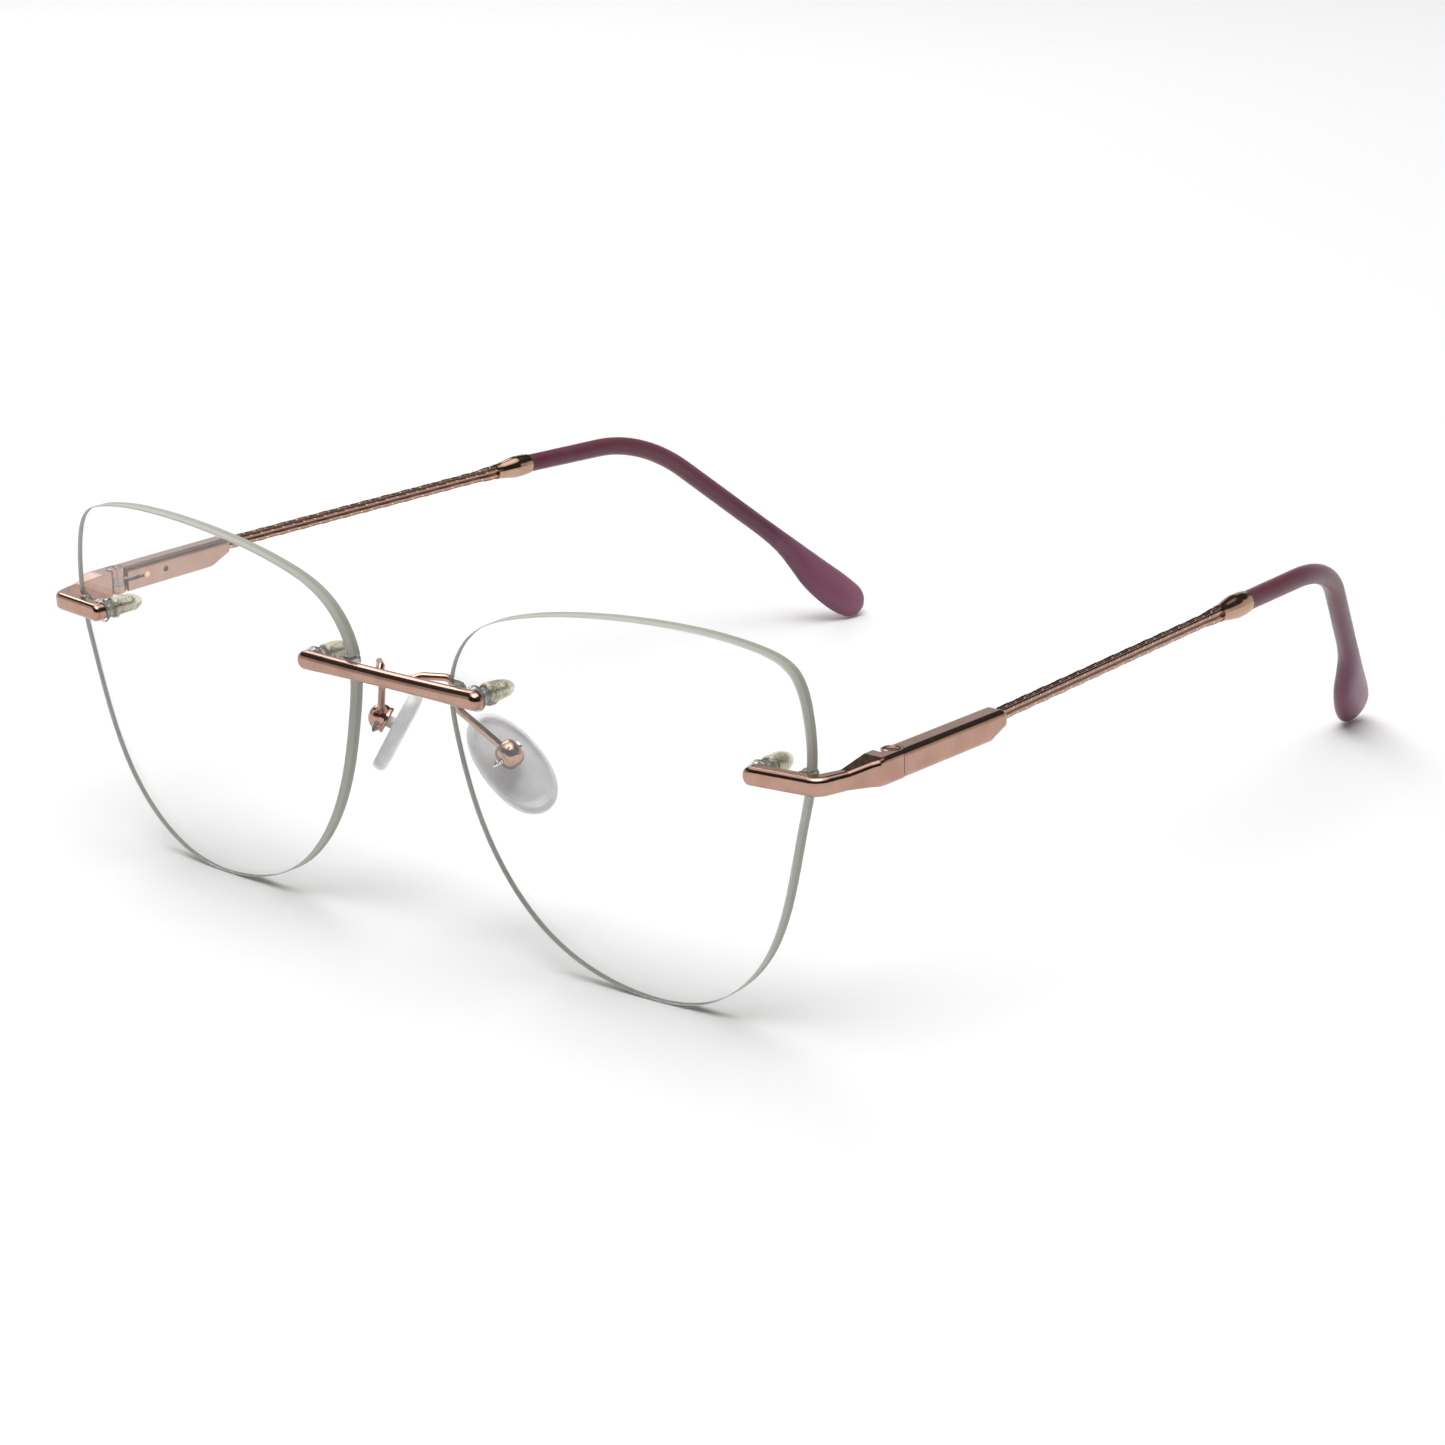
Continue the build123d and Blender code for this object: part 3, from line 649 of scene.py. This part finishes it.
def cap_profile():
    """A bullet-shaped cap with a step at its mouth."""
    start = LENS_BACK + 0.02 * mm
    profile = [(start, STUD_RADIUS * 1.02), (start, CAP_RADIUS * 0.9), (start + 0.25 * mm, CAP_RADIUS * 0.98)]
    for step in range(CAP_STEPS + 1):
        share = step / CAP_STEPS
        radius = CAP_RADIUS * max(1 - share**CAP_BLUNTNESS, 0.0004) ** CAP_ROUNDNESS
        profile.append((start + CAP_MOUTH + (CAP_LENGTH - CAP_MOUTH) * share, radius))
    return profile


def pin_profile(length):
    """A plain pin with rounded ends."""
    profile = [(0, 0.03 * mm), (0, PIN_RADIUS), (length, PIN_RADIUS), (length, 0.03 * mm)]
    return rounded(profile, 0.2 * mm)


def sleeve_profile():
    """A tube round a pin, a little longer than the lens is thick."""
    start, end = LENS_FRONT - SLEEVE_OVERHANG, LENS_BACK + SLEEVE_OVERHANG
    bore = PIN_RADIUS * 1.01
    profile = [(start, bore), (start, SLEEVE_RADIUS), (end, SLEEVE_RADIUS), (end, bore)]
    return rounded(profile, 0.12 * mm)


def make_fixings():
    """A stud, bush and cap in each lens hole, and a pin and sleeve in each edge notch."""
    studs, bushes, caps, pins, sleeves = [], [], [], [], []
    for origin, axis, length in left_islands("lens_studs"):
        studs.append(lathe(origin, axis, stud_profile(length)))
        bushes.append(lathe(origin, axis, bush_profile(), loop=True))
        caps.append(lathe(origin, axis, cap_profile()))
    for origin, axis, length in left_islands("notch_pins"):
        pins.append(lathe(origin, axis, pin_profile(length)))
        sleeves.append(lathe(origin, axis, sleeve_profile(), loop=True))
    groups = (
        ("lens_studs", studs, STEEL, "steel"), ("lens_bushes", bushes, WASHER, "clear_plastic"),
        ("lens_caps", caps, CLEAR, "clear_plastic"), ("notch_pins", pins, STEEL, "steel"),
        ("notch_sleeves", sleeves, WASHER, "clear_plastic"),
    )
    for node, shapes, finish, slot in groups:
        piece = shape_object(node + "_detailed", with_mirror_image(together(*shapes)))
        declare(piece, finish, "front", [node])


# ---------------------------------------------------------------- nose pads
pad_centre = Vector(joints["left_pad_tilt"]["pos_m"])
pad_normal = Vector(mounts["left_nose_rest"]["axis"])
pad_across = Vector(joints["left_pad_tilt"]["axis"])
pad_along = pad_across.cross(pad_normal)


def pad_point(along, side, out):
    """The point at these distances from the left pad's screw."""
    return pad_centre + pad_along * along + pad_across * side + pad_normal * out


def super_ring(half_long, half_wide, power, out, count=96, shift=0.0, egg=0.0):
    """A ring like an ellipse, squarer for a larger power and wider towards its lower end with egg."""
    ring = []
    for j in range(count):
        angle = 2 * pi * j / count
        c, s = cos(angle), sin(angle)
        along = half_long * abs(c) ** (2 / power) * (1 if c >= 0 else -1)
        side = half_wide * abs(s) ** (2 / power) * (1 if s >= 0 else -1)
        side *= 1 + egg * along / half_long
        ring.append(pad_point(along + shift, side, out))
    return ring


def make_nose_pad():
    """A dished oval of silicone with a raised rim, and the lug that sits in the box."""
    # share of the outline, and height over the middle plane as a share of half the thickness
    section = [
        (0.02, -0.50), (0.45, -0.51), (0.70, -0.55), (0.80, -0.58), (0.83, -0.66), (0.855, -0.92),
        (0.89, -1.0), (0.93, -0.96), (0.972, -0.76), (0.995, -0.42), (1.0, 0.0), (0.992, 0.35),
        (0.965, 0.64), (0.91, 0.83), (0.80, 0.93), (0.55, 0.98), (0.02, 1.0),
    ]
    half = PAD_THICKNESS / 2
    rings = []
    for share, height in section:
        half_long, half_wide = PAD_LENGTH / 2 * share, PAD_WIDTH / 2 * share
        out = PAD_FACE + height * half
        rings.append(super_ring(half_long, half_wide, PAD_SQUARENESS, out, shift=PAD_DROP, egg=PAD_EGG))
    lug = [
        super_ring(LUG_HALF_LENGTH, LUG_HALF_WIDTH, LUG_SQUARENESS, out, 32)
        for out in (-0.75 * mm, -0.6 * mm, PAD_FACE - half, PAD_FACE)
    ]
    shape = together(skin(rings), skin(lug))
    both_sides("nose_pad_silicone", shape, SILICONE, "pad", ["nose_pad"])


def make_pad_box():
    """A rounded squarish cup with a lip round its mouth."""
    # distance out from the screw and radius, in mm
    outside = [(-1.58, 0.12), (-1.5, 0.5), (-1.28, 0.92), (-0.9, 1.27), (-0.4, 1.5), (0.1, 1.56)]
    outside += [(0.5, 1.46), (0.62, 1.47), (0.72, 1.55), (0.95, 1.55), (1.05, 1.47)]
    inside = [(1.05, 1.15), (0.9, 1.08), (-0.3, 1.05), (-0.35, 0.05)]
    rings = []
    for section, length, width in ((outside, 1.12, 0.97), (inside, 1, 0.62)):
        for out, radius in section:
            half_long, half_wide = radius * length * mm, radius * width * mm
            rings.append(super_ring(half_long, half_wide, BOX_SQUARENESS, out * mm, 64))
    shape = skin(rings)
    both_sides("pad_box_polished", shape, ROSE_GOLD, "front", ["pad_box"], sharp_angle=70)


def make_pad_screws():
    """Screws across the boxes: a slotted head on one side, a threaded cone point on the other."""
    start, end = -BOX_RADIUS, BOX_RADIUS + PAD_SCREW_POINT
    neck = start + PAD_SCREW_HEAD_HEIGHT
    profile = [(start, 0.03 * mm), (start, PAD_SCREW_HEAD_RADIUS)]
    profile += [(neck, PAD_SCREW_HEAD_RADIUS), (neck, PAD_SCREW_RADIUS)]
    profile = rounded(profile, 0.08 * mm)
    for turn in range(3):
        place = BOX_RADIUS - 0.5 * mm + turn * 0.3 * mm
        profile += [(place, PAD_SCREW_RADIUS), (place + 0.15 * mm, PAD_SCREW_RADIUS * 0.82)]
    profile += [(end - 0.7 * mm, PAD_SCREW_RADIUS * 0.92), (end - 0.1 * mm, PAD_SCREW_RADIUS * 0.34)]
    profile += [(end, PAD_SCREW_RADIUS * 0.1)]
    shape = lathe(pad_centre, pad_across, profile, 32)
    screws = shape_object("pad_screws_detailed", with_mirror_image(shape))
    head = pad_centre + pad_across * start
    for place, along in ((head, pad_along), (mirrored(head), mirrored(pad_along))):
        cut(screws, PAD_SCREW_SLOT, place, along.to_track_quat("X", "Z").to_matrix().to_4x4())
    declare(screws, STEEL, "front", ["pad_screws"])


# ---------------------------------------------------------------- hinge screws
def make_hinge_screws():
    """Slotted screws with slightly domed heads, from the top of the knuckles to the bottom."""
    low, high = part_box("left_hinge_screw")
    centre = Vector(((low.x + high.x) / 2, (low.y + high.y) / 2, low.z))
    height = high.z - low.z
    head = height - SCREW_HEAD_HEIGHT
    profile = [(0, 0.02 * mm), (0, SCREW_RADIUS), (head, SCREW_RADIUS), (head, SCREW_HEAD_RADIUS)]
    profile += [(height - 0.12 * mm, SCREW_HEAD_RADIUS), (height - 0.02 * mm, SCREW_HEAD_RADIUS * 0.8)]
    profile += [(height, 0.02 * mm)]
    shape = lathe(centre, Vector((0, 0, 1)), rounded(profile, 0.06 * mm))
    for side, sign in SIDES:
        screw = shape_object(f"{side}_hinge_screw_slotted", shape, sign)
        top = Vector((sign * centre.x, centre.y, high.z))
        cut(screw, SCREW_SLOT, top, Matrix.Rotation(sign * SCREW_SLOT_TURN, 4, "Z"))
        declare(screw, ROSE_GOLD, f"{side}_hinge_pin", [f"{side}_hinge_screw"])


# ---------------------------------------------------------------- temples
def arm_ends():
    """The middles of the left arm's front and rear ends, and the place and direction of its cord grip."""
    low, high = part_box("left_temple_arm")
    half = ARM_WIDTH / 2
    grip = mounts["left_cord_grip"]
    rear = Vector((low.x + half, high.y, low.z + ARM_HEIGHT / 2))
    front = Vector((high.x - half, low.y, high.z - ARM_HEIGHT / 2))
    return front, rear, Vector(grip["pos_m"]), Vector(grip["axis"])


arm_front, arm_rear, grip_middle, grip_axis = arm_ends()
arm_axis = (arm_rear - arm_front).normalized()
sleeve_start = grip_middle - grip_axis * GRIP_FROM_SLEEVE


def weave(row_place, along):
    """Height of the relief, 0 in a valley and 1 on a bead, in rows of slanting strands with beads between.

    In a strand, u runs from 0 to 1 across its row and v from 0 to 1 along it.
    """
    row = int(row_place)
    u = row_place - row
    v = (along / WEAVE_PITCH + 0.5 * (row % 2) + WEAVE_SLANT * u) % 1
    strand = WEAVE_STRAND * (1 - abs(2 * u - 1) ** 4) * sqrt(max(0, 1 - abs(2 * v - 1) ** 8))
    from_bead = min(v, 1 - v) * WEAVE_PITCH / WEAVE_BEAD
    bead = sqrt(max(0, 1 - from_bead**2 - (2 * (u - 0.5) / WEAVE_BEAD_WIDTH) ** 2))
    return max(strand, bead)


def make_temple_arm():
    """A slim bar with a rounded section and a woven relief all round."""
    around = WEAVE_ROWS * ROW_POINTS
    length = (arm_rear - arm_front).length
    first, second = across(arm_axis)
    rings, shades = [], []
    for step in range(ARM_STEPS + 1):
        along = length * step / ARM_STEPS
        middle = arm_front + arm_axis * along
        near_end = max(0, 1 - (length - along) / ARM_FLARE_LENGTH)
        flare = 1 + ARM_FLARE * near_end**2 * (3 - 2 * near_end)
        ring = []
        for j in range(around):
            angle = 2 * pi * j / around
            c, s = cos(angle), sin(angle)
            height = weave(WEAVE_ROWS * j / around, along)
            scallop = WEAVE_SCALLOP * abs(cos(pi * along / (2 * WEAVE_PITCH)))
            drop = WEAVE_DEPTH * (1 - height) + scallop
            half_wide, half_high = ARM_WIDTH / 2 * flare - drop, ARM_HEIGHT / 2 * flare - drop
            x = half_wide * abs(c) ** ARM_ROUNDNESS * (1 if c >= 0 else -1)
            z = half_high * abs(s) ** ARM_ROUNDNESS * (1 if s >= 0 else -1)
            ring.append(middle + first * x + second * z)
            # the relief's height, which the woven finish turns into painted shade in the valleys and painted
            # glints on the beads
            shades.append(height)
        rings.append(ring)
    both_sides(
        "woven_arm", skin(rings), WOVEN_PAINTED_LIGHT, "temple", ["temple_arm"],
        sharp_angle=60, values=shades,
    )


def make_ferrule():
    """A smooth bead between the arm and the sleeve: a cone up to a soft ridge, then a band."""
    # distance along it and radius, in mm
    cone = [(0, 1.10), (0.8, 1.15), (2.0, 1.33), (3.2, 1.52)]
    band = [(3.8, 1.585), (4.1, 1.575), (5.2, 1.55), (6.3, 1.45)]
    profile = [(0, 0.9 * mm), (0, 1.0 * mm)]
    for step in range(FERRULE_STEPS + 1):
        place = FERRULE_LENGTH * step / FERRULE_STEPS
        profile.append((place, smooth_between(cone + band, place / mm) * mm))
    recess = FERRULE_LENGTH - FERRULE_RECESS
    profile += [(FERRULE_LENGTH, 1.3 * mm), (recess, 1.22 * mm), (recess, 0.05 * mm)]
    shape = lathe(arm_rear, arm_axis, profile, 64)
    both_sides("ferrule_bead", shape, PALE_GOLD, "temple", ["ferrule"])


def tip_line():
    """Stations along the middle of the temple tip, and the normal of the plane that it bends in.

    A station is a point, the direction there, the distance from the paddle's start, and the share of the
    whole length.
    """
    level = (BEND_CORNER - sleeve_start).normalized()
    down = (TIP_END - BEND_CORNER).normalized()
    turn = level.angle(down)
    tangent = BEND_RADIUS * sin(turn / 2) / cos(turn / 2)
    arc_start = BEND_CORNER - level * tangent
    plane_normal = level.cross(down).normalized()
    inward = plane_normal.cross(level)
    centre = arc_start + inward * BEND_RADIUS
    straight = (arc_start - sleeve_start).length
    arc = BEND_RADIUS * turn
    paddle_start = TIP_END - down * PADDLE_START
    leg = (paddle_start - (BEND_CORNER + down * tangent)).length
    total = straight + arc + leg + PADDLE_LENGTH
    stations = []
    count = int(total / TIP_STEP)
    distances = [total * i / count for i in range(count)]
    # the last few stations crowd towards the end, where its outline turns fastest
    distances += [total - PADDLE_LENGTH * (1 - cos(radians(a))) * 0.012 for a in (60, 45, 30, 15, 0)]
    for distance in sorted(distances):
        if distance < straight:
            point, direction = sleeve_start + level * distance, level
        elif distance < straight + arc:
            angle = (distance - straight) / BEND_RADIUS
            direction = level * cos(angle) + inward * sin(angle)
            point = centre + (level * sin(angle) - inward * cos(angle)) * BEND_RADIUS
        else:
            direction = down
            point = BEND_CORNER + down * (tangent + distance - straight - arc)
        stations.append((point, direction, distance - (total - PADDLE_LENGTH), distance / total))
    return stations, plane_normal


# half sizes in mm against the distance in mm from the paddle's start, before the end closes
SLEEVE = [(-60, 1.25), (-40, 1.30), (-20, 1.36), (-6, 1.38)]
FRONT_EDGE = SLEEVE + [(0, 1.42), (3.5, 1.9), (6.5, 2.95), (9.5, 4.1), (13, 4.66)]
FRONT_EDGE += [(17.5, 4.76), (20.75, 4.76)]
REAR_EDGE = SLEEVE + [(0, 1.40), (7, 1.6), (14, 1.8), (17.5, 1.97), (19.6, 2.45), (20.75, 2.6)]
HALF_THICKNESS = SLEEVE + [(2, 1.42), (9, 1.48), (20.75, 1.48)]


def make_temple_tip():
    """A round sleeve that bends behind the ear and flares into a flattened drop."""
    stations, plane_normal = tip_line()
    rings, shades = [], []
    for point, direction, place, share in stations:
        closed = max(0, (place - PADDLE_CLOSING) / (PADDLE_LENGTH - PADDLE_CLOSING))
        closing = max(1 - closed**3, 0.0001) ** PADDLE_END_POWER
        shift = PADDLE_END_SHIFT * (1 - closing)
        to_front = plane_normal.cross(direction)
        front = smooth_between(FRONT_EDGE, place / mm) * mm * closing + shift
        rear = smooth_between(REAR_EDGE, place / mm) * mm * closing - shift
        thick = smooth_between(HALF_THICKNESS, place / mm) * mm * closing**0.8
        middle = point + to_front * (front - rear) / 2
        half_wide = (front + rear) / 2
        ring = []
        for j in range(TIP_POINTS):
            angle = 2 * pi * j / TIP_POINTS
            ring.append(middle + to_front * cos(angle) * half_wide + plane_normal * sin(angle) * thick)
            shades.append(share)
        rings.append(ring)
    both_sides(
        "temple_sleeve", skin(rings), MAUVE, "temple", ["temple_tip"],
        sharp_angle=80, values=shades,
    )


# ---------------------------------------------------------------- carried-over CAD nodes
def paint_cad_nodes():
    """The CAD pieces that keep their own mesh get their finishes."""
    # the hinge sliders get the darker steel that paints the shade of their gap
    paired = {
        "endpiece": ROSE_GOLD, "temple_block": ROSE_GOLD, "pad_arm": ROSE_GOLD, "hinge_slider": HINGE_STEEL_PAINTED_SHADE,
        "slider_nut": STEEL, "slide_bush": BRASS, "slide_spring": STEEL, "lock_pin": BRASS, "core_wire": CORE,
    }
    nodes = {"bridge_bar": ROSE_GOLD}
    for name, finish in paired.items():
        for side, _ in SIDES:
            nodes[f"{side}_{name}"] = finish
    for name, finish in nodes.items():
        mesh = frame["nodes"][name].data
        mesh.materials.clear()
        mesh.materials.append(finish)


# ---------------------------------------------------------------- stage
def make_floor():
    """A wide pale floor."""
    bm = bmesh.new()
    bmesh.ops.create_grid(bm, x_segments=1, y_segments=1, size=FLOOR_REACH)
    floor = finish_mesh(bm, "floor", 30)
    floor.data.materials.append(floor_paint())


def make_sky():
    """A sky that lights like a studio, bright overhead and dark at its sides, and looks plain and pale."""
    world = bpy.data.worlds.new("soft_sky")
    world.use_nodes = True
    bpy.context.scene.world = world
    nodes, links = world.node_tree.nodes, world.node_tree.links
    place = nodes.new("ShaderNodeTexCoord")
    parts = nodes.new("ShaderNodeSeparateXYZ")
    links.new(place.outputs["Generated"], parts.inputs["Vector"])

    def greys(value, *stops):
        ramp = nodes.new("ShaderNodeValToRGB")
        set_stops(ramp, stops)
        links.new(value, ramp.inputs["Fac"])
        return ramp.outputs["Color"]

    # brightness against height, from 0 at the horizon to 1 overhead: one side is dark all the way up to
    # the bright part overhead, and the other is light low down with a dark band above that
    facing = nodes.new("ShaderNodeVectorMath")
    facing.operation = "DOT_PRODUCT"
    facing.inputs[1].default_value = DARK_SIDE
    links.new(place.outputs["Generated"], facing.inputs[0])
    share = greys(facing.outputs["Value"], (0.0, 0.0), (0.25, 1.0))
    height = parts.outputs["Z"]
    dark_side = greys(height, (0.0, 0.03), (0.72, 0.03), (0.84, 1.5), (1.0, 2.0))
    light_side = greys(height, (0.0, 0.75), (0.34, 0.62), (0.42, 0.05), (0.74, 0.05), (0.86, 1.5), (1.0, 2.0))
    room = nodes.new("ShaderNodeMix")
    room.data_type = "RGBA"
    links.new(share, room.inputs["Factor"])
    links.new(light_side, room.inputs[6])
    links.new(dark_side, room.inputs[7])
    sky = nodes["Background"]
    links.new(room.outputs[2], sky.inputs["Color"])
    sky.inputs["Strength"].default_value = 1.0

    # what is seen directly is plain and pale
    backdrop = nodes.new("ShaderNodeBackground")
    backdrop.inputs["Color"].default_value = full_colour(0.95)
    rays = nodes.new("ShaderNodeLightPath")
    chooser = nodes.new("ShaderNodeMixShader")
    links.new(rays.outputs["Is Camera Ray"], chooser.inputs["Fac"])
    links.new(sky.outputs["Background"], chooser.inputs[1])
    links.new(backdrop.outputs["Background"], chooser.inputs[2])
    links.new(chooser.outputs["Shader"], nodes["World Output"].inputs["Surface"])


def make_lights():
    """Two soft round lights that face the glasses: name, place, diameter and power in watts."""
    for name, place, size, power in (
        ("key_light", Vector((0.15, -0.25, 0.9)), 0.7, 3.6),
        ("fill_light", Vector((-0.7, 0.3, 0.6)), 0.5, 2.0),
    ):
        data = bpy.data.lights.new(name, "AREA")
        data.shape = "DISK"
        data.size = size
        data.energy = power
        light = bpy.data.objects.new(name, data)
        light.location = place
        light.rotation_euler = (-place).to_track_quat("-Z", "Y").to_euler()
        bpy.context.scene.collection.objects.link(light)


def make_camera():
    """Above and to the front left of the wearer, slightly rolled."""
    level = Vector((sin(CAMERA_AZIMUTH), -cos(CAMERA_AZIMUTH), 0))
    back = level * cos(CAMERA_ELEVATION) + Vector((0, 0, sin(CAMERA_ELEVATION)))
    right = Vector((cos(CAMERA_AZIMUTH), sin(CAMERA_AZIMUTH), 0))
    up = back.cross(right)
    rolled_right = right * cos(CAMERA_ROLL) + up * sin(CAMERA_ROLL)
    rolled_up = up * cos(CAMERA_ROLL) - right * sin(CAMERA_ROLL)
    data = bpy.data.cameras.new("camera")
    data.sensor_width = SENSOR_WIDTH
    data.lens = FOCAL_LENGTH
    camera = bpy.data.objects.new("camera", data)
    camera.matrix_world = Matrix((rolled_right, rolled_up, back)).transposed().to_4x4()
    camera.location = CAMERA_PLACE
    bpy.context.scene.collection.objects.link(camera)
    bpy.context.scene.camera = camera


bpy.context.scene.view_settings.view_transform = "Standard"
make_camera()
make_floor()
make_sky()
make_lights()
paint_lenses()
make_fixings()
make_nose_pad()
make_pad_box()
make_pad_screws()
make_hinge_screws()
make_temple_arm()
make_ferrule()
make_temple_tip()
paint_cad_nodes()
